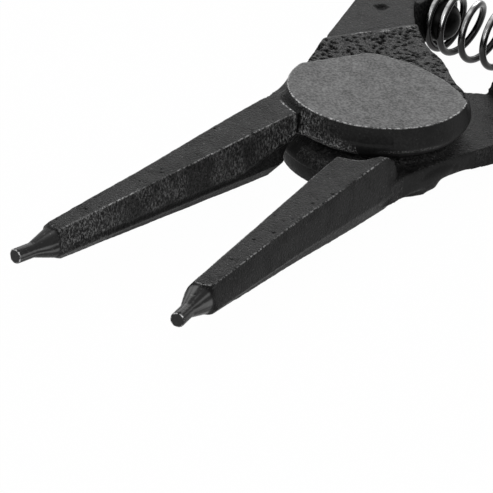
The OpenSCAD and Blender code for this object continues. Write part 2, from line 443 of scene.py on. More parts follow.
class Shader:
    """Adds and joins the nodes of one finish."""

    def __init__(self, name: str) -> None:
        """Starts a material that has one surface shader.

        Args:
            name: Name of the material.
        """
        self.material = bpy.data.materials.new(name)
        self.material.use_nodes = True
        self.tree = self.material.node_tree
        self.surface = self.tree.nodes["Principled BSDF"]

    def feed(self, socket: Socket, value: Socket | float | tuple) -> None:
        """Links a socket to another, or sets its value.

        Args:
            socket: The socket that is fed.
            value: Another node's socket, a number or a colour.
        """
        if isinstance(value, bpy.types.NodeSocket):
            self.tree.links.new(value, socket)
        else:
            socket.default_value = value

    def node(self, kind: str, settings: dict | None = None, inputs: dict | None = None) -> bpy.types.Node:
        """Adds a node.

        Args:
            kind: Blender's name for the node.
            settings: Options of the node.
            inputs: Values or links for its sockets, by name or number.

        Returns:
            The node.
        """
        made = self.tree.nodes.new(kind)
        for key, value in (settings or {}).items():
            setattr(made, key, value)
        for key, value in (inputs or {}).items():
            self.feed(made.inputs[key], value)
        return made

    def place(self) -> Socket:
        """The place on the object, in metres."""
        return self.node("ShaderNodeTexCoord").outputs["Object"]

    def attribute(self, name: str) -> Socket:
        """A number that the mesh holds for each vertex."""
        return self.node("ShaderNodeAttribute", {"attribute_name": name}).outputs["Fac"]

    def calc(self, operation: str, a: Socket | float, b: Socket | float = 0.0) -> Socket:
        """One step of arithmetic."""
        return self.node("ShaderNodeMath", {"operation": operation}, {0: a, 1: b}).outputs[0]

    def without(self, share: Socket) -> Socket:
        """What a share leaves of 1."""
        return self.calc("SUBTRACT", 1.0, share)

    def span(self, value: Socket, low: float, high: float, start: float = 0.0, end: float = 1.0) -> Socket:
        """Maps a value from low to high smoothly to the span from start to end."""
        inputs = {"Value": value, "From Min": low, "From Max": high, "To Min": start, "To Max": end}
        return self.node("ShaderNodeMapRange", {"interpolation_type": "SMOOTHSTEP"}, inputs).outputs["Result"]

    def grain(self, grain: Grain) -> Socket:
        """Random grain with values round 0.5.

        Args:
            grain: Its measures.

        Returns:
            The values.
        """
        squeeze = {0: self.place(), 1: (1.0, 1.0, 1 / grain.tall)}
        place = self.node("ShaderNodeVectorMath", {"operation": "MULTIPLY"}, squeeze).outputs[0]
        inputs = {
            "Vector": place,
            "Scale": 1 / (grain.size * MM),
            "Detail": grain.detail,
            "Roughness": grain.rough,
        }
        return self.node("ShaderNodeTexNoise", None, inputs).outputs["Fac"]

    def patches(self, grain: Grain, start: float = 0.0, end: float = 1.0) -> Socket:
        """Random grain whose used span runs from start to end."""
        return self.span(self.grain(grain), grain.low, grain.high, start, end)

    def _mixed(self, kind: MixKind, share: Socket | float, a: Socket | tuple | float,
               b: Socket | tuple | float) -> Socket:
        """Blends two values.

        Args:
            kind: What is blended.
            share: The share of the second value.
            a: The first value.
            b: The second value.

        Returns:
            The blend.
        """
        name, first, second, result = kind.value
        inputs = {"Factor": share, first: a, second: b}
        return self.node("ShaderNodeMix", {"data_type": name}, inputs).outputs[result]

    def mix(self, share: Socket | float, a: Socket | tuple, b: Socket | tuple) -> Socket:
        """Blends two colours."""
        return self._mixed(MixKind.COLOURS, share, a, b)

    def blend(self, share: Socket | float, a: Socket | float, b: Socket | float) -> Socket:
        """Blends two numbers."""
        return self._mixed(MixKind.NUMBERS, share, a, b)

    def bump(self, height: Socket, depth: float, under: Socket | None = None) -> Socket:
        """Turns heights into a bent normal.

        Args:
            height: Heights from 0 to 1.
            depth: Height of 1 in millimetres.
            under: A normal that this one lies on.

        Returns:
            The normal.
        """
        inputs = {"Height": height, "Distance": depth * MM, "Strength": 1.0}
        if under is not None:
            inputs["Normal"] = under
        return self.node("ShaderNodeBump", None, inputs).outputs[0]

    def finish(self, **sockets: Socket | float | tuple) -> bpy.types.Material:
        """Feeds the surface shader.

        Args:
            sockets: Values or links by the shader's own names, with underscores for spaces.

        Returns:
            The material.
        """
        for key, value in sockets.items():
            self.feed(self.surface.inputs[key.replace("_", " ")], value)
        return self.material


def grey(value: float) -> tuple[float, float, float, float]:
    """A plain grey."""
    return (value, value, value, 1.0)


def grey_pair(tone: float, spread: float) -> tuple[tuple, tuple]:
    """A darker and a lighter grey on either side of a tone."""
    return grey(tone * (1 - spread)), grey(tone * (1 + spread))


@dataclass(frozen=True)
class GroundSteel:
    """Bare steel off the grinding wheel, dull grey with a fine speckle."""

    tone: float = 0.086
    roughness: float = 0.7
    spread: float = 0.55
    cloud_share: float = 0.3
    speckle: Grain = Grain(0.3, 3.0, 0.6, 0.36, 0.64)
    clouds: Grain = Grain(2.6, 3.0, 0.6)
    relief_grain: Grain = Grain(0.3, 3.0, 0.6)
    relief_depth: float = 0.03

    def colour(self, shader: Shader) -> Socket:
        """Fine speckle and broad clouds."""
        share = shader.blend(self.cloud_share, shader.patches(self.speckle), shader.patches(self.clouds))
        return shader.mix(share, *grey_pair(self.tone, self.spread))

    def relief(self, shader: Shader, mask: Socket | float, under: Socket | None = None) -> Socket:
        """Grinding grain where the mask is 1."""
        grain = shader.calc("MULTIPLY", shader.grain(self.relief_grain), mask)
        return shader.bump(grain, self.relief_depth, under)

    def material(self) -> bpy.types.Material:
        """Builds the finish.

        Returns:
            The material.
        """
        shader = Shader("ground_steel")
        return shader.finish(
            Base_Color=self.colour(shader),
            Metallic=1.0,
            Roughness=self.roughness,
            Normal=self.relief(shader, 1.0),
        )


@dataclass(frozen=True)
class BlackenedForging:
    """Phosphated black skin with rubbed edges, flaky sides and a bare ground joint face, with painted shade
    in pits, folds, grooves and hollow corners and painted reflection streaks on the turned tip.
    """

    skin: float = 0.036
    skin_dark: float = 0.004
    skin_even: float = 0.016
    # Near-black tone of the painted shade in pits, folds, the bevel groove and hollow corners, and the span
    # of shares that reaches it
    pit_shade: float = 0.002
    pit_shares: tuple[float, float] = (0.1, 0.6)
    bare: float = 0.42
    gloss: float = 0.06
    roughness: tuple[float, float] = (0.4, 0.6)
    face: GroundSteel = GroundSteel()
    face_depth: float = 0.12
    speckle: Grain = Grain(0.3, 3.0, 0.6, 0.36, 0.66)
    speckle_depth: float = 0.2
    mottle: Grain = Grain(2.4, 4.0, 0.55, 0.25, 0.6)
    dust: Grain = Grain(0.26, 2.0, 0.5, 0.64, 0.74)
    dust_share: float = 0.2
    chips: Grain = Grain(0.32, 3.0, 0.6, 0.42, 0.6)
    edge_width: float = 0.2
    flakes: Grain = Grain(0.2, 5.0, 0.7, 0.47, 0.63, 2.2)
    flake_depth: float = 0.12
    flake_share: float = 0.44
    # Painted shade in hollow corners: how far from a concave edge it reaches, in millimetres, and its
    # greatest share
    corner_shade_width: float = 0.7
    corner_share: float = 0.6
    # Dark and light tones of the painted reflection streaks on the turned tip
    turned_reflection_tones: tuple[float, float] = (0.024, 0.14)
    turned_roughness: float = 0.35

    def material(self, side: Side) -> bpy.types.Material:
        """Builds the finish for one half.

        Args:
            side: The half, whose ground face looks up or down.

        Returns:
            The material.
        """
        shader = Shader(f"blackened_forging_{side.value}")
        on_face = self._ground_mask(shader, side)
        fine = shader.grain(self.speckle)
        bright = self._bright_mask(shader)
        turned = shader.attribute("turned")
        # The turned tip gets painted reflection streaks in place of the skin's colour
        colour = shader.mix(turned, self._skin_colour(shader, fine), self._turned_reflection_colour(shader))
        colour = shader.mix(on_face, colour, self.face.colour(shader))
        colour = shader.mix(bright, colour, grey(self.bare))
        rough = shader.span(fine, self.speckle.low, self.speckle.high, *self.roughness)
        rough = shader.blend(turned, rough, self.turned_roughness)
        return shader.finish(
            Base_Color=colour,
            Metallic=shader.calc("MAXIMUM", bright, on_face),
            Roughness=shader.blend(on_face, rough, self.face.roughness),
            Normal=self._relief(shader, fine, on_face),
            Specular_IOR_Level=self.gloss,
        )

    def _turned_reflection_colour(self, shader: Shader) -> Socket:
        """Painted reflection streaks that run along the turned tip: dark and light bands in place of
        reflected light.
        """
        dark, light = (grey(tone) for tone in self.turned_reflection_tones)
        return shader.mix(shader.attribute("reflection_streak"), dark, light)

    def _ground_mask(self, shader: Shader, side: Side) -> Socket:
        """Tells the ground face by its height.

        Args:
            shader: The shader.
            side: The half.

        Returns:
            1 on the ground face and 0 elsewhere.
        """
        height = shader.node("ShaderNodeSeparateXYZ", None, {0: shader.place()}).outputs["Z"]
        face_z = LAYOUT.mid_z * (1 + side.up) * MM
        depth = shader.calc("ABSOLUTE", shader.calc("SUBTRACT", height, face_z))
        return shader.span(depth, self.face_depth * MM, self.face_depth / 2 * MM)

    def _bright_mask(self, shader: Shader) -> Socket:
        """Finds where the steel is rubbed bright: chipped lines on edges, and flecks on scuffs and flakes.

        Args:
            shader: The shader.

        Returns:
            1 where the steel is bright and 0 elsewhere.
        """
        line = shader.span(shader.attribute("edge"), self.edge_width, 0.0)
        line = shader.calc("MULTIPLY", line, shader.attribute("wear"))
        line = shader.calc("MULTIPLY", line, shader.patches(self.chips))
        flecks = shader.patches(self.flakes)
        loose = shader.calc("MULTIPLY", shader.attribute("rough"), self.flake_share)
        loose = shader.calc("MAXIMUM", loose, shader.attribute("scuff"))
        bright = shader.calc("MAXIMUM", line, shader.calc("MULTIPLY", flecks, loose))
        uneven = shader.without(shader.attribute("even"))
        dust = shader.calc("MULTIPLY", shader.patches(self.dust, 0.0, self.dust_share), uneven)
        sound = shader.without(shader.attribute("pit_shade"))
        return shader.calc("MULTIPLY", shader.calc("MAXIMUM", bright, dust), sound)

    def _skin_colour(self, shader: Shader, fine: Socket) -> Socket:
        """Mottled black, with painted shade in pits, folds, the bevel groove and hollow corners.

        Args:
            shader: The shader.
            fine: The grain of the skin.

        Returns:
            The colour.
        """
        speckle = shader.span(fine, self.speckle.low, self.speckle.high)
        tone = shader.calc("MULTIPLY", shader.patches(self.mottle), speckle)
        colour = shader.mix(tone, grey(self.skin_dark), grey(self.skin))
        colour = shader.mix(shader.attribute("even"), colour, grey(self.skin_even))
        # Painted shade that deepens towards each concave edge
        corner = shader.span(shader.attribute("hollow"), self.corner_shade_width, 0.0, 0.0, self.corner_share)
        # Painted shade: pits, folds and the bevel groove by their share, and hollow corners by their distance
        # to the concave edge, all darkened towards one near-black tone
        dark = shader.calc("MAXIMUM", shader.span(shader.attribute("pit_shade"), *self.pit_shares), corner)
        return shader.mix(dark, colour, grey(self.pit_shade))

    def _relief(self, shader: Shader, fine: Socket, on_face: Socket) -> Socket:
        """Grainy skin, flaky on rough sides and nearly flat on the ground face.

        Args:
            shader: The shader.
            fine: The grain of the skin.
            on_face: 1 on the ground face.

        Returns:
            The bent normal.
        """
        smooth = shader.calc("MAXIMUM", shader.attribute("even"), shader.attribute("turned"))
        skin = shader.without(shader.calc("MAXIMUM", on_face, smooth))
        normal = shader.bump(shader.calc("MULTIPLY", fine, skin), self.speckle_depth)
        loose = shader.calc("MULTIPLY", shader.grain(self.flakes), shader.attribute("rough"))
        normal = shader.bump(loose, self.flake_depth, normal)
        return self.face.relief(shader, on_face, normal)


@dataclass(frozen=True)
class PegSteel:
    """Oiled black steel with a fine grain."""

    tone: float = 0.003
    spread: float = 0.25
    roughness: tuple[float, float] = (0.28, 0.42)
    gloss: float = 0.06
    fine: Grain = Grain(0.12, 4.0, 0.6)
    blotches: Grain = Grain(0.7)
    grain_depth: float = 0.004

    def material(self) -> bpy.types.Material:
        """Builds the finish.

        Returns:
            The material.
        """
        shader = Shader("peg_steel")
        return shader.finish(
            Base_Color=shader.mix(shader.patches(self.fine), *grey_pair(self.tone, self.spread)),
            Roughness=shader.patches(self.blotches, *self.roughness),
            Normal=shader.bump(shader.grain(self.fine), self.grain_depth),
            Specular_IOR_Level=self.gloss,
        )


@dataclass(frozen=True)
class SpringWire:
    """Oiled black wire with a painted highlight along the outside and top of the coil."""

    tone: float = 0.03
    # Tone of the painted highlight
    bright: float = 0.6
    roughness: float = 0.24
    # Patches that break up the painted highlight, and their span of shares
    highlight_patches: Grain = Grain(1.6, 2.0, 0.5, 0.4, 0.6)
    highlight_shares: tuple[float, float] = (0.35, 1.0)
    fine: Grain = Grain(0.12, 4.0, 0.6)
    grain_depth: float = 0.003

    def material(self) -> bpy.types.Material:
        """Builds the finish.

        Returns:
            The material.
        """
        shader = Shader("spring_wire")
        # Painted highlight on the outside and top of the coil, broken into patches
        highlight_patches = shader.patches(self.highlight_patches, *self.highlight_shares)
        highlit = shader.calc("MULTIPLY", shader.attribute("painted_highlight"), highlight_patches)
        return shader.finish(
            Base_Color=shader.mix(highlit, grey(self.tone), grey(self.bright)),
            Metallic=1.0,
            Roughness=self.roughness,
            Normal=shader.bump(shader.grain(self.fine), self.grain_depth),
        )


@dataclass(frozen=True)
class DippedPlastic:
    """Soft black plastic with a faint orange peel."""

    tone: float = 0.01
    spread: float = 0.2
    roughness: tuple[float, float] = (0.36, 0.5)
    gloss: float = 0.35
    peel: Grain = Grain(1.1, 3.0, 0.5)
    clouds: Grain = Grain(9.0)
    peel_depth: float = 0.03

    def material(self) -> bpy.types.Material:
        """Builds the finish.

        Returns:
            The material.
        """
        shader = Shader("dipped_plastic")
        return shader.finish(
            Base_Color=shader.mix(shader.patches(self.clouds), *grey_pair(self.tone, self.spread)),
            Roughness=shader.patches(self.peel, *self.roughness),
            Normal=shader.bump(shader.grain(self.peel), self.peel_depth),
            Specular_IOR_Level=self.gloss,
        )


# Places on a forged half

class SkinPoints:
    """The points of one half's net, in the part's frame and in the half's own frame.

    In the half's frame the jaw runs towards -Y, its inner side looks to X, and the ground face looks up.
    """

    def __init__(self, mesh: bpy.types.Mesh, side: Side) -> None:
        """Reads a net.

        Args:
            mesh: The net, in millimetres.
            side: The half that it belongs to.
        """
        self.side = side
        self.places = mesh_points(mesh)
        self.normals = mesh_normals(mesh)
        self.local = LAYOUT.to_half(self.places, side)
        self.x, self.y, self.z = self.local.T
        self.facing = self.normals @ LAYOUT.turn(side).T
        self.reach = np.hypot(self.x, self.y)
        self.bearing = np.degrees(np.arctan2(self.y, self.x))
        self.past_face = self.reach - LAYOUT.face_r
        self.under_face = LAYOUT.mid_z - self.z
        self.side_way = LAYOUT.side_way(self.local)
        self.past_ridge = self.side_way - LAYOUT.ridge_reach

    def __len__(self) -> int:
        """Number of points."""
        return len(self.places)

    @property
    def near_face(self) -> Array:
        """True above the ridge's foot, on the ground face and the skin beside it."""
        return self.under_face < 2 * LAYOUT.face_step

    def field(self, size: float, draw: Draw) -> Array:
        """A random field of the half at all points."""
        return rough_field(self.places, size, draw.seed(self.side))


@dataclass(frozen=True)
class Jaw:
    """Where the jaw lies in the half's frame, in millimetres. Pairs stand for its end and its root."""

    end: float = -52.9
    root: float = -14.0
    foot: float = -13.0
    pin_end: float = -58.8
    pin_x: float = -1.0
    tops: tuple[float, float] = (1.95, 4.2)
    lows: tuple[float, float] = (-1.95, -2.9)
    inner: tuple[float, float] = (-0.06, -1.9)
    corner: tuple[float, float] = (-1.9, -11.45)
    corner_reach: float = 2.6
    corner_top: float = 4.0
    bevel_rise: float = 0.3
    arch_climb: Ease = Ease(-25.0, -12.45)
    arch_rise: float = 2.3
    looks_in: Ease = Ease(0.3, 0.6)

    def along(self, skin: SkinPoints, ends: tuple[float, float]) -> Array:
        """A measure that changes evenly along the jaw."""
        return np.interp(skin.y, (self.end, self.root), ends)

    def past_inner(self, skin: SkinPoints) -> Array:
        """How far each point lies past the jaw's inner edge, and below 0 how far behind it."""
        return skin.x - self.along(skin, self.inner)

    def arch_line(self, skin: SkinPoints) -> Array:
        """Height of the line on the jaw's inner side that climbs to the joint."""
        return self.lows[1] / 2 + self.arch_rise * self.arch_climb.rise(skin.y)

    def above_bevel(self, skin: SkinPoints) -> Array:
        """How far each point lies above the bevel along the jaw's lower edge and its arch at the root."""
        bevel = self.along(skin, self.lows) / 2 + self.bevel_rise
        return skin.z - np.maximum(bevel, self.arch_line(skin))

    def near_corner(self, skin: SkinPoints) -> Array:
        """How far each point lies from the upright corner between the inner side and the joint's wall."""
        return np.hypot(skin.x - self.corner[0], skin.y - self.corner[1])

    def corner_way(self, skin: SkinPoints) -> Array:
        """How far each point lies from the middle of that corner, above 0 on the joint's side."""
        return ((skin.x - self.corner[0]) + (skin.y - self.corner[1])) / math.sqrt(2)

    def in_corner(self, skin: SkinPoints) -> Array:
        """True in that corner, below the jaw's top and off the ground face.

        Args:
            skin: The half's points.

        Returns:
            Truth values.
        """
        open_side = skin.x - self.corner[0] > skin.y - self.corner[1]
        upright = (skin.z > 0) & (skin.z < self.corner_top)
        return open_side & upright & (self.near_corner(skin) < self.corner_reach)


JAW = Jaw()


# Forms and marks of a forged half

@dataclass(frozen=True)
class ForgedForms:
    """Forms that forging leaves, each under about a millimetre. Sizes in millimetres in the half's frame."""

    wall_in: Ease = Ease(-1.6, -0.8)
    wall_out: Ease = Ease(0.9, 1.8)
    wall_foot: Ease = Ease(-0.4, 0.2)
    wall_top: Ease = Ease(0.35, 0.9)
    root_round: Ease = Ease(1.5, 3.0)
    step_reach: float = 8.5
    step_width: Ease = Ease(0.9, 1.5)
    step_foot: Ease = Ease(3.0, 3.4)
    arch_depth: float = 0.5
    arch_start: Ease = Ease(-25.0, -20.0)
    arch_edge: Ease = Ease(0.0, 0.4)
    arch_foot: Ease = Ease(-1.5, -0.9)
    arch_skin: Ease = Ease(-1.2, -0.2)
    arch_clear: float = 1.0
    swell: float = 0.6
    swell_side: Ease = Ease(1.0, 2.6)
    swell_run: Ease = Ease(-40.0, -15.0)
    swell_end: Ease = Ease(-13.0, -10.0)
    heel_slope: float = 0.58
    heel_top: float = 0.3
    heel_run: Ease = Ease(-20.0, -15.5)
    heel_side: Ease = Ease(-4.0, -2.0)
    heel_end: float = -11.0
    groove_span: tuple[float, float] = (0.15, 1.4)
    groove_depth: float = 0.4
    groove_front: float = -6.87
    groove_low: float = 2.52
    groove_from: Ease = Ease(-7.2, -5.4)
    rim_low: float = 3.36
    rim_from: float = -5.7
    fold_r: float = 0.34
    fold_depth: float = 0.5
    bevel_depth: float = 0.12
    bevel_at: float = 0.1
    bevel_width: Ease = Ease(0.15, 0.5)
    bevel_start: Ease = Ease(-52.9, -50.9)
    bevel_end: Ease = Ease(-14.0, -12.0)

    def wall_share(self, skin: SkinPoints) -> Array:
        """1 on the joint's swelling wall and in the corner at the jaw's root, where forging leaves no edge.

        Args:
            skin: The half's points.

        Returns:
            Numbers from 0 to 1.
        """
        wall = self.wall_in.rise(skin.past_face) * self.wall_out.fall(skin.past_face)
        root = self.root_round.fall(JAW.near_corner(skin))
        return np.maximum(wall * self.wall_foot.rise(skin.z), root) * self.wall_top.rise(skin.under_face)

    def step_share(self, skin: SkinPoints) -> Array:
        """1 where the lower half's ground face eases down to the forged skin beside it."""
        away = np.abs(skin.side_way - self.step_reach)
        return self.step_width.fall(away) * self.step_foot.rise(skin.z)

    def moves(self, skin: SkinPoints) -> Array:
        """Forms that blend into one another: the arched and slanted heel, and the jaw's fuller outer side.

        Args:
            skin: The half's points.

        Returns:
            Moves in the half's frame.
        """
        past_inner = JAW.past_inner(skin)
        on_jaw = skin.y < self.heel_end
        arch = self.arch_start.rise(skin.y) * self.arch_edge.rise(JAW.arch_line(skin) - skin.z)
        arch *= self.arch_foot.rise(skin.z) * self.arch_skin.rise(past_inner)
        arch *= (skin.past_face > self.arch_clear) * on_jaw
        outer = self.swell_side.rise(-past_inner) * self.swell_run.rise(skin.y) * self.swell_end.fall(skin.y)
        heel = self.heel_run.rise(skin.y) * np.maximum(self.heel_top - skin.z, 0) * on_jaw
        heel *= self.heel_side.rise(past_inner)
        return np.stack(
            [-self.arch_depth * arch - self.swell * outer, -self.heel_slope * heel, np.zeros(len(skin))], 1)

    def folds(self, skin: SkinPoints) -> Array:
        """The groove round the joint on the jaw's root, and the upright fold in the corner beside it.

        Args:
            skin: The half's points.

        Returns:
            Depths in millimetres.
        """
        start, end = self.groove_span
        across = np.clip((skin.past_face - start) / (end - start), 0, 1)
        on_root = (skin.y < self.groove_front) & (skin.z > self.groove_low)
        groove = self.groove_depth * np.sin(math.pi * across) ** 2 * on_root * self.groove_from.rise(skin.x)
        fold = np.clip(1 - (JAW.corner_way(skin) / self.fold_r) ** 2, 0, 1)
        return np.maximum(groove, self.fold_depth * fold * JAW.in_corner(skin))

    def groove_rim(self, skin: SkinPoints) -> Array:
        """How far each point lies from the outer edge of the groove on the jaw's root.

        Args:
            skin: The half's points.

        Returns:
            Distances in millimetres, and a large number away from the root.
        """
        away = np.abs(skin.past_face - self.groove_span[1])
        on_root = (skin.y < self.groove_front) & (skin.z > self.rim_low) & (skin.x > self.rim_from)
        return np.where(on_root, away, FAR)

    def bevel_share(self, skin: SkinPoints) -> Array:
        """1 in the shallow groove above the bevel on the jaw's inner side.

        Args:
            skin: The half's points.

        Returns:
            Numbers from 0 to 1.
        """
        on_side = JAW.looks_in.rise(skin.facing[:, 0])
        on_side *= self.bevel_start.rise(skin.y) * self.bevel_end.fall(skin.y)
        return on_side * self.bevel_width.fall(np.abs(JAW.above_bevel(skin) - self.bevel_at))


@dataclass(frozen=True)
class EdgeWear:
    """How much the edges of a half are rubbed. Sizes in millimetres, bearings in degrees."""

    patches: SkinPatches = SkinPatches(3.5, 0.75, 1.2, 0.15, 1.0)
    jaw_run: Ease = Ease(-14.0, -11.0)
    jaw_height: Ease = Ease(0.75, 0.9)
    jaw_tip: Ease = Ease(-52.9, -51.4)
    jaw_shares: tuple[float, float] = (0.5, 0.9)
    groove_width: float = 0.5
    pin_rim: Ease = Ease(-58.5, -58.2)
    face_rim: Ease = Ease(0.1, 0.25)
    face_bearing: float = -70.0
    face_front: Ease = Ease(80.0, 120.0)
    face_back: float = 0.3
    face_least: float = 0.6
    rim_share: float = 2.5
    ridge_width: Ease = Ease(0.4, 0.7)
    ridge_share: float = 0.8

    def share(self, skin: SkinPoints, forms: ForgedForms) -> Array:
        """How much an edge near each point is rubbed.

        Args:
            skin: The half's points.
            forms: The forms of the forging.

        Returns:
            Numbers from 0 up.
        """
        patchy = self.patches.share(skin.places, Draw.WEAR.seed(skin.side))
        jaw = np.maximum(self._on_jaw(skin), forms.groove_rim(skin) < self.groove_width)
        pin = self.pin_rim.fall(skin.y)
        front = self.face_front.fall(np.abs(skin.bearing - self.face_bearing))
        face = self.face_rim.fall(skin.under_face) * (self.face_back + (1 - self.face_back) * front)
        rims = self.rim_share * np.maximum(pin, face * np.maximum(patchy, self.face_least))
        ridge = self.ridge_share * self.ridge_width.fall(np.abs(skin.past_ridge)) * skin.near_face
        return np.maximum.reduce([jaw * patchy, rims, ridge * patchy])

    def _on_jaw(self, skin: SkinPoints) -> Array:
        """Wear along the jaw's upper and lower edges.

        Args:
            skin: The half's points.

        Returns:
            Numbers from 0 to 1.
        """
        height = np.maximum(skin.z / JAW.along(skin, JAW.tops), skin.z / JAW.along(skin, JAW.lows))
        tip, rest = self.jaw_shares
        share = tip + (rest - tip) * self.jaw_tip.rise(skin.y)
        return self.jaw_run.fall(skin.y) * self.jaw_height.rise(height) * share


@dataclass(frozen=True)
class Scuffs:
    """Scuffs on a half's skin. Sizes in millimetres, bearings in degrees."""

    patches: SkinPatches = SkinPatches(2.2, 0.2, 2.0, 0.0, 1.0)
    lower_share: float = 0.2
    ridge_width: Ease = Ease(0.5, 1.1)
    ridge_run: Ease = Ease(8.0, 14.0)
    ridge_least: float = 0.4
    wall_skin: Ease = Ease(0.0, 0.3)
    wall_past: float = 1.0
    wall_bearing: float = -85.0
    wall_width: Ease = Ease(8.0, 30.0)
    wall_foot: Ease = Ease(0.4, 0.8)
    wall_top: Ease = Ease(2.0, 3.2)
    wall_share: float = 0.6
    arch_at: float = 0.5
    arch_width: Ease = Ease(0.3, 0.9)
    arch_run: Ease = Ease(-19.0, -15.0)
    arch_reach: float = 8.0
    arch_from: float = -3.8
    corner_round: Ease = Ease(0.6, 2.2)
    corner_foot: Ease = Ease(0.0, 0.5)
    corner_top: float = 3.9
    corner_share: float = 0.85
    lip_at: float = 0.68
    lip_width: Ease = Ease(0.1, 0.3)
    crease_past: tuple[float, float] = (-0.4, 2.0)
    crease_z: float = 1.7
    crease_height: Ease = Ease(0.1, 0.3)
    crease_bearing: float = -25.0
    crease_width: Ease = Ease(12.0, 25.0)
    crease_share: float = 0.8
    crease_least: float = 0.4
    tip_run: Ease = Ease(-48.9, -40.9)
    tip_skin: Ease = Ease(-0.3, -0.1)
    tip_share: float = 0.3

    def share(self, skin: SkinPoints) -> Array:
        """How scuffed the skin is: along the ridge, on the joint's wall, in the jaw's root and at its tip.

        Args:
            skin: The half's points.

        Returns:
            Numbers from 0 to 1.
        """
        patchy = self.patches.share(skin.places, Draw.SCUFFS.seed(skin.side))
        ridge = self.ridge_width.fall(np.abs(skin.past_ridge)) * skin.near_face
        ridge *= self.ridge_least + (1 - self.ridge_least) * self.ridge_run.rise(skin.y)
        crease = self.crease_share * self._crease(skin) * np.maximum(patchy, self.crease_least)
        tip = self.tip_share * self.tip_run.fall(skin.y) * self.tip_skin.rise(JAW.past_inner(skin))
        wall = self.wall_share * self._wall(skin) * patchy
        scuffs = np.maximum.reduce([ridge * patchy, wall, self._root(skin), crease, tip * (skin.y > JAW.end)])
        return scuffs if skin.side is Side.LEFT else self.lower_share * scuffs

    def _wall(self, skin: SkinPoints) -> Array:
        """Scuffs on the joint's wall next to the jaw.

        Args:
            skin: The half's points.

        Returns:
            Numbers from 0 to 1.
        """
        wall = self.wall_skin.rise(skin.past_face) * (skin.past_face < self.wall_past)
        wall *= self.wall_width.fall(np.abs(skin.bearing - self.wall_bearing))
        return wall * self.wall_foot.rise(skin.z) * self.wall_top.fall(skin.z)

    def _crease(self, skin: SkinPoints) -> Array:
        """The rubbed line low on the joint's wall.

        Args:
            skin: The half's points.

        Returns:
            Numbers from 0 to 1.
        """
        inside, outside = self.crease_past
        on_wall = (skin.past_face > inside) * (skin.past_face < outside)
        line = self.crease_height.fall(np.abs(skin.z - self.crease_z))
        return on_wall * line * self.crease_width.fall(np.abs(skin.bearing - self.crease_bearing))

    def _root(self, skin: SkinPoints) -> Array:
        """Scuffs along the arch at the jaw's root, in its corner and on the lips of the fold.

        Args:
            skin: The half's points.

        Returns:
            Numbers from 0 to 1.
        """
        near = JAW.near_corner(skin)
        above = skin.z - JAW.arch_line(skin)
        arch = self.arch_width.fall(np.abs(above - self.arch_at)) * self.arch_run.rise(skin.y)
        arch *= (near < self.arch_reach) * (skin.x > self.arch_from)
        corner = np.maximum(self.corner_round.fall(near) * self.corner_foot.rise(above), arch)
        corner *= self.corner_share * (skin.z < self.corner_top)
        lips = self.lip_width.fall(np.abs(np.abs(JAW.corner_way(skin)) - self.lip_at))
        return np.maximum(corner, lips * JAW.in_corner(skin))


@dataclass(frozen=True)
class Pits:
    """Pits: crowded in the band beside the ground face, a few on the jaw, and one dimple on the arm."""

    flat: Ease = Ease(0.8, 0.92)
    band_from: float = -5.725
    band_sink: float = 0.25
    band_depth: Ease = Ease(0.35, 0.5)
    band_end: Ease = Ease(-0.6, 0.0)
    cell: float = 0.72
    pit_r: float = 0.36
    broad_size: float = 2.5
    broad_spread: float = 0.25
    edge_size: float = 0.25
    edge_spread: float = 0.2
    pit_wall: Ease = Ease(-0.06, 0.14)
    pit_depth: float = 0.3
    jaw_count: int = 26
    jaw_r: tuple[float, float] = (0.12, 0.3)
    jaw_flat: float = 0.9
    bowl_slope: float = 0.45
    bowl_reach: float = 1.5
    ragged_size: float = 0.8
    ragged_share: float = 0.4
    ragged_seeds: int = 97
    dimple_at: tuple[float, float, float] = (-18.2, 20.2, 3.3)
    dimple_r: float = 0.95

    def band(self, skin: SkinPoints) -> Array:
        """1 on the forged skin between the ground face and the ridge.

        Args:
            skin: The half's points.

        Returns:
            Numbers from 0 to 1.
        """
        sunk = skin.under_face - LAYOUT.face_step
        band = self.flat.rise(skin.facing[:, 2]) * (skin.y > self.band_from)
        band *= self.band_depth.fall(np.abs(sunk - self.band_sink))
        return band * self.band_end.fall(skin.past_ridge)

    def depths(self, skin: SkinPoints) -> tuple[Array, Array]:
        """All pits of the half.

        Args:
            skin: The half's points.

        Returns:
            The depth of each point in millimetres, and its share of its pit's depth.
        """
        share = self._eaten_band(skin)
        sunk = self.pit_depth * share
        draw = np.random.default_rng(skin.side.seed)
        on_jaw = np.flatnonzero((skin.y < JAW.foot) & (np.abs(skin.facing[:, 2]) > self.jaw_flat))
        spots = list(draw.choice(on_jaw, self.jaw_count))
        sizes = list(draw.uniform(*self.jaw_r, self.jaw_count))
        spots.append(int(np.argmin(np.linalg.norm(skin.local - np.array(self.dimple_at), axis=1))))
        sizes.append(self.dimple_r)
        for spot, size in zip(spots, sizes):
            gap = np.linalg.norm(skin.places - skin.places[spot], axis=1)
            close = np.flatnonzero(gap < self.bowl_reach * size)
            edge = rough_field(skin.places[close], self.ragged_size * size, int(spot) % self.ragged_seeds)
            bowl = np.clip(1 - (gap[close] / (size * (1 + self.ragged_share * edge))) ** 2, 0, 1)
            sunk[close] = np.maximum(sunk[close], self.bowl_slope * size * bowl)
            share[close] = np.maximum(share[close], bowl)
        return sunk, share

    def _eaten_band(self, skin: SkinPoints) -> Array:
        """Ragged pits that crowd the band between the ground face and the ridge.

        Args:
            skin: The half's points.

        Returns:
            Each point's share of the full depth.
        """
        band = self.band(skin)
        inside = np.flatnonzero(band > 0)
        places = skin.places[inside]
        shift = Vector([skin.side.seed] * 3)
        away = np.array([noise.voronoi(Vector(p) / self.cell + shift)[0][0] for p in places])
        broad = rough_field(places, self.broad_size, Draw.PIT_SIZES.seed(skin.side))
        edge = rough_field(places, self.edge_size, Draw.PIT_EDGES.seed(skin.side))
        reach = self.pit_r + self.broad_spread * broad + self.edge_spread * edge
        share = np.zeros(len(skin))
        share[inside] = self.pit_wall.rise(reach - away) * band[inside]
        return share


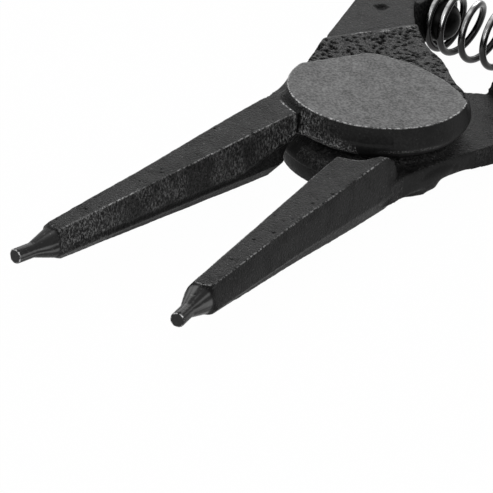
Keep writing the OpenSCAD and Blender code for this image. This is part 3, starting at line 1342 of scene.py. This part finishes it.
@dataclass(frozen=True)
class FlakySkin:
    """Where a half's skin is flaky and where it is even. Sizes in millimetres."""

    patches: SkinPatches = SkinPatches(2.4, 0.4, 1.6, 0.1, 0.75)
    jaw_root: Ease = Ease(-13.0, -11.0)
    jaw_start: Ease = Ease(-52.9, -51.4)
    bevel_edge: Ease = Ease(0.0, 0.3)
    root_reach: Ease = Ease(4.0, 11.0)
    tip_run: Ease = Ease(-48.0, -38.0)
    wall_skin: Ease = Ease(-0.3, 0.0)
    wall_past: float = 1.0
    wall_reach: Ease = Ease(1.5, 5.0)
    wall_upright: float = 0.8
    lower_share: float = 0.2
    band_share: float = 0.5
    even_wall: Ease = Ease(-0.6, -0.2)
    even_past: float = 2.0
    even_reach: Ease = Ease(3.0, 7.0)
    even_upright: Ease = Ease(0.7, 0.9)
    even_bevel: Ease = Ease(-0.4, -0.1)
    even_shares: tuple[float, float, float] = (0.75, 0.4, 0.25)

    def flaky(self, skin: SkinPoints, band: Array) -> Array:
        """How flaky each point is: the jaw's inner side, the joint's wall next to it, and the eaten band.

        Args:
            skin: The half's points.
            band: 1 on the eaten band.

        Returns:
            Numbers from 0 to 1.
        """
        near = JAW.near_corner(skin)
        patchy = self.patches.share(skin.places, Draw.FLAKES.seed(skin.side))
        jaw = JAW.looks_in.rise(skin.facing[:, 0]) * self.jaw_root.fall(skin.y) * self.jaw_start.rise(skin.y)
        jaw *= self.bevel_edge.rise(JAW.above_bevel(skin))
        jaw *= np.maximum.reduce([self.root_reach.fall(near), self.tip_run.fall(skin.y), patchy])
        wall = self.wall_skin.rise(skin.past_face) * (skin.past_face < self.wall_past)
        wall *= self.wall_reach.fall(near) * (np.abs(skin.facing[:, 2]) < self.wall_upright)
        wall *= 1 if skin.side is Side.LEFT else self.lower_share
        return np.maximum.reduce([jaw, wall, self.band_share * band])

    def even(self, skin: SkinPoints) -> Array:
        """How even each point is: the joint's wall away from the jaw, the jaw's outer side and its bevel.

        Args:
            skin: The half's points.

        Returns:
            Numbers from 0 to 1.
        """
        wall = self.even_wall.rise(skin.past_face) * (skin.past_face < self.even_past)
        wall *= self.even_reach.rise(JAW.near_corner(skin))
        wall *= self.even_upright.fall(np.abs(skin.facing[:, 2]))
        outer = JAW.looks_in.rise(-skin.facing[:, 0]) * (skin.y < JAW.foot)
        bevel = JAW.looks_in.rise(skin.facing[:, 0]) * (skin.y < JAW.foot) * (skin.y > JAW.end)
        bevel *= self.even_bevel.fall(JAW.above_bevel(skin))
        zones = zip(self.even_shares, (wall, outer, bevel))
        return np.maximum.reduce([share * zone for share, zone in zones])


@dataclass(frozen=True)
class TurnedTip:
    """Cone and pin, turned after forging, with painted reflection streaks along them. Sizes in millimetres.
    """

    start: Ease = Ease(-53.4, -53.0)
    streak_across: float = 0.3
    streak_along: float = 14.0
    reflection_streak: Ease = Ease(0.0, 0.5)
    end_depth: float = 0.04
    # Fixed share of painted reflection that lightens the pin's end face
    end_reflection: float = 0.05

    def shares(self, skin: SkinPoints) -> tuple[Array, Array]:
        """Where the tip is turned, and the painted reflection streaks along it.

        Args:
            skin: The half's points.

        Returns:
            1 on the cone and the pin, and the strength of the painted reflection streaks from 0 to 1, fixed
            on the pin's end face.
        """
        around = np.arctan2(skin.z, skin.x - JAW.pin_x)
        ring = np.stack([np.cos(around), np.sin(around)], 1) / self.streak_across
        unrolled = np.column_stack([ring, skin.y / self.streak_along])
        turned = self.start.fall(skin.y)
        reflection_streak = np.zeros(len(skin))
        tip = np.flatnonzero(turned > 0)
        reflection_streak[tip] = self.reflection_streak.rise(rough_field(unrolled[tip], size=1.0, seed=skin.side.seed))
        return turned, np.where(skin.y < JAW.pin_end + self.end_depth, self.end_reflection, reflection_streak)


@dataclass
class ForgedHalf:
    """One forged half: jaw, turned tip, joint disc, arm and the steel of the handle. Sizes in millimetres."""

    side: Side
    finish: BlackenedForging
    forms: ForgedForms = ForgedForms()
    wear: EdgeWear = EdgeWear()
    scuffs: Scuffs = Scuffs()
    pits: Pits = Pits()
    flakes: FlakySkin = FlakySkin()
    tip: TurnedTip = TurnedTip()
    voxel: float = 0.15
    edge_angle: float = 19.0
    edge_snap: float = 0.09
    edge_break: Ease = Ease(0.06, 0.3)
    edge_passes: int = 2
    corner_fill: Ease = Ease(0.3, 0.6)
    corner_passes: int = 12
    wall_passes: int = 30
    step_passes: int = 90
    plug_r: float = 4.6
    plug_foot: float = 0.6
    plug_sides: int = 64
    tang_hidden: float = 1.5
    lump_size: float = 3.1
    lump_height: float = 0.035
    grain_size: float = 0.8
    grain_height: float = 0.012
    flake_height: float = 0.04
    forged_under: Ease = Ease(0.02, 0.3)
    forged_from: Ease = Ease(-53.9, -52.9)
    # Shares of painted shade in the folds and in the groove above the bevel
    fold_shade: Ease = Ease(0.25, 0.5)
    groove_shade: float = 0.45

    @property
    def node(self) -> str:
        """The frame's node that the half stands for."""
        return f"{self.side.value}_half"

    @property
    def face_z(self) -> float:
        """Height of the ground face in the part's frame."""
        return LAYOUT.mid_z * (1 + self.side.up)

    def build(self) -> list[bpy.types.Object]:
        """Makes the half and puts it on its body.

        Returns:
            The forging that shows, and the tang inside the grip.
        """
        material = self.finish.material(self.side)
        pieces = []
        for name, mesh in (("forging", self._forging()), ("tang", self._tang())):
            mesh.transform(Matrix.Scale(MM, 4))
            piece = new_piece(f"{self.node}_{name}", mesh, material)
            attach(piece, self.side.body)
            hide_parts(self.node)
            pieces.append(piece)
        return pieces

    def _forging(self) -> bpy.types.Mesh:
        """The part of the half that shows.

        Returns:
            A net in millimetres with the numbers that the finish reads.
        """
        solid = self._solid(keep_tang=False)
        net = voxel_net(self._plugged(solid), self.voxel)
        self._set_on(net, solid)
        self._forge_skin(net)
        solid.free()
        return net

    def _tang(self) -> bpy.types.Mesh:
        """The plain tang inside the grip.

        Returns:
            A mesh in millimetres with the numbers that the finish reads.
        """
        solid = self._solid(keep_tang=True)
        tang = bpy.data.meshes.new("tang")
        solid.to_mesh(tang)
        solid.free()
        for name in ("edge", "hollow"):
            set_attribute(tang, name, np.full(len(tang.vertices), FAR))
        for name in ("pit_shade", "rough", "wear", "scuff", "even", "turned", "reflection_streak"):
            set_attribute(tang, name, np.zeros(len(tang.vertices)))
        return tang

    def _solid(self, keep_tang: bool) -> bmesh.types.BMesh:
        """The frame's solid, cut across a little way inside the grip.

        Args:
            keep_tang: Keeps the tang if true, and the rest of the half if not.

        Returns:
            One closed side of the cut.
        """
        solid = frame_solid(self.node)
        mouth, along = LAYOUT.grip_mouth
        start = LAYOUT.to_part(mouth + along * self.tang_hidden, self.side)
        heading = LAYOUT.to_part(mouth + along * (self.tang_hidden + 1), self.side) - start
        bmesh.ops.bisect_plane(
            solid, geom=[*solid.verts, *solid.edges, *solid.faces], plane_co=start, plane_no=heading,
            clear_inner=keep_tang, clear_outer=not keep_tang)
        rim = [edge for edge in solid.edges if edge.is_boundary]
        bmesh.ops.contextual_create(solid, geom=rim)
        return solid

    def _plugged(self, solid: bmesh.types.BMesh) -> bmesh.types.BMesh:
        """A copy of the solid with the rivet's hole closed.

        Args:
            solid: The solid.

        Returns:
            The copy.
        """
        bm = solid.copy()
        foot_z = LAYOUT.mid_z + self.plug_foot * self.side.up
        bmesh.ops.create_cone(
            bm, cap_ends=True, segments=self.plug_sides, radius1=self.plug_r, radius2=self.plug_r,
            depth=abs(self.face_z - foot_z), matrix=Matrix.Translation((0, 0, (self.face_z + foot_z) / 2)))
        return bm

    def _sharp_edges(self, solid: bmesh.types.BMesh) -> list[tuple[Vector, Vector, float]]:
        """The solid's edges that show, but for the rivet's hole.

        Args:
            solid: The solid.

        Returns:
            For each edge its two ends and its angle, which is below 0 in a hollow.
        """
        found = []
        for edge in solid.edges:
            angle = math.degrees(edge.calc_face_angle_signed(0.0))
            ends = [v.co for v in edge.verts]
            clear = min(end.xy.length for end in ends) > self.plug_r + 2 * self.voxel
            if abs(angle) > self.edge_angle and clear:
                found.append((ends[0].copy(), ends[1].copy(), angle))
        return found

    def _edge_tree(self, edges: list[tuple[Vector, Vector, float]]) -> KDTree:
        """Points along edges, close enough together to find the nearest edge.

        Args:
            edges: Edges with their ends and angle.

        Returns:
            A tree of the points.
        """
        places = []
        for a, b, _ in edges:
            steps = max(1, math.ceil((b - a).length / (self.voxel / 2)))
            places += [a.lerp(b, i / steps) for i in range(steps + 1)]
        tree = KDTree(len(places))
        for i, place in enumerate(places):
            tree.insert(place, i)
        tree.balance()
        return tree

    def _set_on(self, net: bpy.types.Mesh, solid: bmesh.types.BMesh) -> None:
        """Sets the net on the solid, breaks its edges, fills its corners and gives it its forged forms.

        Args:
            net: The net, which is changed and gets the distances to the nearest edges.
            solid: The solid.
        """
        skin = SkinPoints(net, self.side)
        links = mesh_edges(net)
        points, edge, hollow = self._snapped(skin, solid)
        points = relaxed(points, links, RELAX * self.edge_break.fall(edge), self.edge_passes)
        points = relaxed(points, links, RELAX * self.corner_fill.fall(hollow), self.corner_passes)
        points = relaxed(points, links, RELAX * self.forms.wall_share(skin), self.wall_passes)
        if self.side is Side.RIGHT:
            points = relaxed(points, links, RELAX * self.forms.step_share(skin), self.step_passes)
        set_points(net, points + self.forms.moves(skin) @ LAYOUT.turn(self.side))
        set_attribute(net, "edge", np.minimum(edge, self.forms.groove_rim(skin)))
        set_attribute(net, "hollow", hollow)

    def _snapped(self, skin: SkinPoints, solid: bmesh.types.BMesh) -> tuple[Array, Array, Array]:
        """Draws each point to an edge of the solid that is close by, or else to the solid's surface.

        Args:
            skin: The half's points.
            solid: The solid.

        Returns:
            The new places, and the distances to the nearest ridge and to the nearest hollow corner.
        """
        edges = self._sharp_edges(solid)
        ridges = self._edge_tree([edge for edge in edges if edge[2] > 0])
        corners = self._edge_tree([edge for edge in edges if edge[2] < 0])
        surface = BVHTree.FromBMesh(solid)
        plugged = (skin.reach < self.plug_r + 2 * self.voxel) & (skin.z > self.plug_foot)
        points = skin.places.copy()
        to_ridge = np.zeros(len(skin))
        to_corner = np.zeros(len(skin))
        for i, point in enumerate(skin.places):
            on_ridge, _, to_ridge[i] = ridges.find(point)
            on_corner, _, to_corner[i] = corners.find(point)
            if plugged[i]:
                points[i, 2] = self.face_z
            elif min(to_ridge[i], to_corner[i]) < self.edge_snap:
                points[i] = on_ridge if to_ridge[i] < to_corner[i] else on_corner
            else:
                points[i] = surface.find_nearest(point)[0]
        return points, to_ridge, to_corner

    def _forge_skin(self, net: bpy.types.Mesh) -> None:
        """Gives the net the lumps, flakes, folds and pits of a forged skin, the marks of wear, the shares of
        painted shade in pits, folds and the bevel groove, and the painted reflection streaks of the turned
        tip.

        Args:
            net: The net, which is changed and gets the numbers that the finish reads.
        """
        skin = SkinPoints(net, self.side)
        rough = self.flakes.flaky(skin, self.pits.band(skin))
        forged = self.forged_under.rise(skin.under_face) * self.forged_from.rise(skin.y)
        lumps = self.lump_height * skin.field(self.lump_size, Draw.LUMPS)
        lumps += (self.grain_height + self.flake_height * rough) * skin.field(self.grain_size, Draw.GRAIN)
        sunk, pit_shade = self.pits.depths(skin)
        groove = self.forms.bevel_share(skin)
        folds = self.forms.folds(skin) + self.forms.bevel_depth * groove
        set_points(net, skin.places + skin.normals * (lumps * forged - sunk - folds)[:, None])
        # The turned tip and its painted reflection streaks
        turned, reflection_streak = self.tip.shares(skin)
        numbers = {
            # Share of painted shade: the pits, and the folds and the bevel groove by their depth
            "pit_shade": np.maximum.reduce([pit_shade, self.fold_shade.rise(folds), self.groove_shade * groove]),
            "even": self.flakes.even(skin),
            "rough": rough,
            "wear": self.wear.share(skin, self.forms),
            "scuff": self.scuffs.share(skin),
            "turned": turned,
            "reflection_streak": reflection_streak,
        }
        for name, values in numbers.items():
            set_attribute(net, name, values)


# Spring, pegs and rivet

@dataclass
class OpeningSpring:
    """Coil spring between the arms, with closed turns at both ends. Sizes in millimetres."""

    finish: SpringWire
    coil_d: float = 8.1
    wire_d: float = 0.9
    turns: float = 8.6
    end_gap: float = 0.05
    closed_turns: float = 1.0
    closed_pitch: float = 1.35
    steps_per_turn: int = 56
    wire_sides: int = 18
    lean: float = 0.13
    lean_turns: Ease = Ease(1.0, 2.0)
    # Where the wire gets the painted highlight: round its outer side, and on the upper part of each turn
    highlight_round: Ease = Ease(0.75, 0.98)
    highlight_height: Ease = Ease(-0.1, 0.5)

    def _opened(self, turns: Array) -> Array:
        """How many turns of the open pitch lie between the spring's end and a place on the wire.

        Args:
            turns: Turns from the spring's end.

        Returns:
            The share of open turns, which sets in over one turn after the closed ones.
        """
        past = turns - self.closed_turns
        return np.where(past < 0, 0, np.where(past < 1, past ** 2 / 2, past - 1 / 2))

    def _along(self, turns: Array) -> Array:
        """Place along the spring's axis for each step of the wire, from end to end.

        Args:
            turns: Turns from one end at each step.

        Returns:
            Places from the middle of the spring.
        """
        half_turns = self.turns / 2
        half = LAYOUT.spring_len / 2 - self.wire_d / 2 - self.end_gap
        added = (half - self.closed_pitch * half_turns) / self._opened(half_turns)
        from_end = np.minimum(turns, self.turns - turns)
        way = self.closed_pitch * from_end + added * self._opened(from_end)
        return np.where(turns < half_turns, way - half, half - way)

    def _middle_line(self, centre: Vector) -> tuple[Array, Array]:
        """The wire's middle line, with the coils leaning as in a loaded spring.

        Args:
            centre: Middle of the spring.

        Returns:
            Places along the wire, and the ways out from the spring's axis there.
        """
        turns = np.linspace(0, self.turns, int(self.turns * self.steps_per_turn) + 1)
        angle = FULL_TURN * turns
        out = np.stack([np.zeros_like(angle), np.sin(angle), -np.cos(angle)], 1)
        coil_r = (self.coil_d - self.wire_d) / 2
        lean = self.lean * self.lean_turns.rise(np.minimum(turns, self.turns - turns))
        x = self._along(turns) + lean * coil_r * out[:, 2]
        return np.stack([x, centre.y + coil_r * out[:, 1], centre.z + coil_r * out[:, 2]], 1), out

    def _wire(self, line: Array, out: Array) -> bpy.types.Mesh:
        """Sweeps the round wire along its middle line.

        Args:
            line: Places along the wire.
            out: Ways out from the spring's axis there.

        Returns:
            A closed mesh with the stretches that get the painted highlight.
        """
        heading = np.gradient(line, axis=0)
        heading /= np.linalg.norm(heading, axis=1)[:, None]
        across = np.cross(heading, out)
        spots = FULL_TURN * np.arange(self.wire_sides) / self.wire_sides
        bm = bmesh.new()
        rings = []
        for place, outward, sideways in zip(line, out, across):
            ways = [math.cos(spot) * outward + math.sin(spot) * sideways for spot in spots]
            rings.append([bm.verts.new(place + self.wire_d / 2 * way) for way in ways])
        for near, far in zip(rings, rings[1:]):
            for i in range(self.wire_sides):
                j = (i + 1) % self.wire_sides
                bm.faces.new((near[i], near[j], far[j], far[i]))
        for ring in (rings[0], rings[-1]):
            bm.faces.new(ring)
        mesh = closed_mesh("opening_spring_wire", bm)
        # Painted highlight on the wire's outer side, on the upper part of each turn
        painted_highlight = np.outer(self.highlight_height.rise(out[:, 2]), self.highlight_round.rise(np.cos(spots)))
        set_attribute(mesh, "painted_highlight", painted_highlight.ravel())
        return mesh

    def build(self) -> bpy.types.Object:
        """Winds the wire between the two bodies.

        Returns:
            The piece.
        """
        low, high = (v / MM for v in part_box("opening_spring"))
        centre = (low + high) / 2
        mesh = self._wire(*self._middle_line(centre))
        mesh.transform(Matrix.Scale(MM, 4))
        piece = new_piece("opening_spring_wire", mesh, self.finish.material())
        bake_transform(piece)
        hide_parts("opening_spring")
        return piece


@dataclass
class SpringPeg:
    """Round-headed peg that holds one end of the spring. Sizes in millimetres."""

    side: Side
    finish: PegSteel
    tail_r: float = 1.48
    tail: float = 3.9
    seat_gap: float = 0.02
    neck_r: float = 2.2
    neck_end: float = 0.5
    head_r: float = 2.8
    head_foot: float = 0.25
    head_break: float = 0.06
    length: float = 3.7
    arc_steps: int = 14
    sides: int = 56

    def _profile(self) -> list[tuple[float, float]]:
        """Places along the peg from its seat, with the radius at each.

        Returns:
            The profile, from the tail to the top of the round head.
        """
        top = self.length - self.head_r
        dome = [math.pi / 2 * i / self.arc_steps for i in range(self.arc_steps)]
        return [
            (-self.tail, 0),
            (-self.tail, self.tail_r),
            (self.seat_gap, self.tail_r),
            (self.seat_gap, self.neck_r),
            (top - self.neck_end, self.neck_r),
            (top - self.head_foot, self.head_r - self.head_break),
            *[(top + self.head_r * math.sin(a), self.head_r * math.cos(a)) for a in dome],
            (self.length, 0),
        ]

    def build(self) -> bpy.types.Object:
        """Turns the peg and sets it in its arm.

        Returns:
            The piece.
        """
        node = f"{self.side.value}_spring_peg"
        low, high = (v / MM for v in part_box(node))
        mesh = lathe(self._profile(), self.sides)
        if self.side is Side.RIGHT:
            mesh.transform(Matrix.Rotation(math.pi, 4, "Z"))
        seat_x = -self.side.up * LAYOUT.spring_len / 2
        mesh.transform(Matrix.Translation((seat_x, (low.y + high.y) / 2, LAYOUT.mid_z)))
        mesh.transform(Matrix.Scale(MM, 4))
        piece = new_piece(f"{node}_turned", mesh, self.finish.material())
        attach(piece, self.side.body)
        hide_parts(node)
        return piece


@dataclass
class PivotRivet:
    """Rivet of the joint, countersunk at both ends and ground off with the faces. Sizes in millimetres."""

    finish: GroundSteel
    shank_r: float = 3.0
    head_h: float = 1.3
    proud: float = 0.003
    sides: int = 96

    def _profile(self) -> list[tuple[float, float]]:
        """Places along the rivet from the lower face, with the radius at each.

        Returns:
            The profile, from the lower to the upper end.
        """
        top = LAYOUT.joint_t
        head_r = self.shank_r + self.head_h
        return [
            (-self.proud, 0),
            (-self.proud, head_r),
            (0, head_r),
            (self.head_h, self.shank_r),
            (top - self.head_h, self.shank_r),
            (top, head_r),
            (top + self.proud, head_r),
            (top + self.proud, 0),
        ]

    def build(self) -> bpy.types.Object:
        """Turns the rivet and sets it in the lower half.

        Returns:
            The piece.
        """
        mesh = lathe(self._profile(), self.sides)
        mesh.transform(Matrix.Scale(MM, 4) @ Matrix.Rotation(-math.pi / 2, 4, "Y"))
        piece = new_piece("pivot_rivet_turned", mesh, self.finish.material())
        mesh.polygons.foreach_set("use_smooth", np.zeros(len(mesh.polygons), bool))
        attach(piece, Side.RIGHT.body)
        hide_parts("pivot_rivet")
        return piece


@dataclass
class Grip:
    """Dipped plastic grip of one handle. Sizes in millimetres."""

    side: Side
    finish: DippedPlastic
    voxel: float = 0.5
    passes: int = 6

    def build(self) -> bpy.types.Object:
        """Rounds the frame's grip and puts it on its body.

        Returns:
            The piece.
        """
        node = f"{self.side.value}_grip"
        mesh = voxel_net(frame_solid(node), self.voxel)
        points = mesh_points(mesh)
        set_points(mesh, relaxed(points, mesh_edges(mesh), np.full(len(points), RELAX), self.passes))
        mesh.transform(Matrix.Scale(MM, 4))
        piece = new_piece(f"{node}_dipped", mesh, self.finish.material())
        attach(piece, self.side.body)
        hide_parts(node)
        return piece


# Studio

@dataclass(frozen=True)
class Lamp:
    """A rectangular lamp that looks at the pivot. Sizes in millimetres, power in watts."""

    name: str
    spot: tuple[float, float, float]
    width: float
    height: float
    power: float

    def build(self) -> None:
        """Puts the lamp in the scene."""
        data = bpy.data.lights.new(self.name, "AREA")
        data.shape = "RECTANGLE"
        data.size = self.width * MM
        data.size_y = self.height * MM
        data.energy = self.power
        lamp = bpy.data.objects.new(self.name, data)
        lamp.location = Vector(self.spot) * MM
        lamp.rotation_euler = (-lamp.location).to_track_quat("-Z", "Y").to_euler()
        bpy.context.scene.collection.objects.link(lamp)


@dataclass
class Studio:
    """White table, soft light and the camera of the photograph. Sizes in millimetres, angles in degrees."""

    azimuth: float = 32.26
    elevation: float = 27.13
    roll: float = 4.75
    distance: float = 550.0
    target: tuple[float, float, float] = (6.91, -37.64, 4.7)
    focal_px: float = 4788.87
    image_px: float = 493.0
    sensor: float = 36.0
    clip: tuple[float, float] = (10.0, 20000.0)
    floor_size: float = 6000.0
    floor_tone: float = 0.85
    floor_glow: float = 0.985
    sky_diffuse: float = 0.5
    lamp_back: Lamp = Lamp("lamp_back", (-420.0, 680.0, 520.0), 600.0, 600.0, 4.5)
    lamp_front: Lamp = Lamp("lamp_front", (330.0, -800.0, 450.0), 100.0, 900.0, 2.5)

    def build(self) -> None:
        """Sets up camera, table, lamps and sky."""
        self._camera()
        self._floor()
        self.lamp_back.build()
        self.lamp_front.build()
        self._sky()
        bpy.context.scene.view_settings.view_transform = "Standard"

    def _camera(self) -> None:
        """Places the camera by its bearing, its height angle and its roll."""
        a, e, w = (math.radians(v) for v in (self.azimuth, self.elevation, self.roll))
        back = Vector((math.sin(a) * math.cos(e), -math.cos(a) * math.cos(e), math.sin(e)))
        level = Vector((math.cos(a), math.sin(a), 0))
        upright = back.cross(level)
        right = level * math.cos(w) + upright * math.sin(w)
        up = upright * math.cos(w) - level * math.sin(w)
        data = bpy.data.cameras.new("camera")
        data.sensor_width = self.sensor
        data.lens = self.focal_px * self.sensor / self.image_px
        data.clip_start, data.clip_end = (v * MM for v in self.clip)
        camera = bpy.data.objects.new("camera", data)
        spot = (Vector(self.target) + back * self.distance) * MM
        camera.matrix_world = Matrix.Translation(spot) @ Matrix((right, up, back)).transposed().to_4x4()
        bpy.context.scene.collection.objects.link(camera)
        bpy.context.scene.camera = camera

    def _floor(self) -> None:
        """Lays the table, white where it is seen, with the part's soft shadow on it."""
        bm = bmesh.new()
        bmesh.ops.create_grid(bm, x_segments=1, y_segments=1, size=self.floor_size / 2 * MM)
        mesh = bpy.data.meshes.new("table_top")
        bm.to_mesh(mesh)
        bm.free()
        shader = Shader("table_white")
        rays = shader.node("ShaderNodeLightPath")
        seen = shader.calc("MAXIMUM", rays.outputs["Is Camera Ray"], rays.outputs["Is Glossy Ray"])
        seen = shader.calc("MAXIMUM", seen, rays.outputs["Is Transmission Ray"])
        glow = shader.node("ShaderNodeEmission", None, {"Color": grey(1.0), "Strength": 1.0})
        paint = shader.node("ShaderNodeBsdfDiffuse", None, {"Color": grey(self.floor_tone)})
        share = shader.calc("MULTIPLY", seen, self.floor_glow)
        mixed = shader.node("ShaderNodeMixShader", None, {0: share, 1: paint.outputs[0], 2: glow.outputs[0]})
        shader.feed(shader.tree.nodes["Material Output"].inputs["Surface"], mixed.outputs[0])
        floor = new_piece("table_top", mesh, shader.material)

    def _sky(self) -> None:
        """Lights the table evenly and shows white behind it."""
        world = bpy.data.worlds.new("studio_sky")
        world.use_nodes = True
        bpy.context.scene.world = world
        tree = world.node_tree
        ground = tree.nodes["Background"]
        rays = tree.nodes.new("ShaderNodeLightPath")
        seen = rays.outputs["Is Camera Ray"]
        for other in ("Is Glossy Ray", "Is Transmission Ray"):
            either = tree.nodes.new("ShaderNodeMath")
            either.operation = "MAXIMUM"
            tree.links.new(seen, either.inputs[0])
            tree.links.new(rays.outputs[other], either.inputs[1])
            seen = either.outputs[0]
        level = tree.nodes.new("ShaderNodeMapRange")
        level.inputs["To Min"].default_value = self.sky_diffuse
        level.inputs["To Max"].default_value = 1.0
        tree.links.new(seen, level.inputs["Value"])
        tree.links.new(level.outputs[0], ground.inputs["Strength"])
        ground.inputs["Color"].default_value = grey(1.0)


def main() -> None:
    """Builds the studio and every piece in order."""
    logging.basicConfig(level=logging.INFO, format="%(name)s: %(message)s")
    Studio().build()
    forging = BlackenedForging()
    pieces = [piece for side in Side for piece in ForgedHalf(side, forging).build()]
    pieces.append(PivotRivet(forging.face).build())
    pieces.append(OpeningSpring(SpringWire()).build())
    pieces += [SpringPeg(side, PegSteel()).build() for side in Side]
    pieces += [Grip(side, DippedPlastic()).build() for side in Side]
    for piece in pieces:
        log.info("%s has %d faces", piece.name, len(piece.data.polygons))


if __name__ == "__main__":
    main()
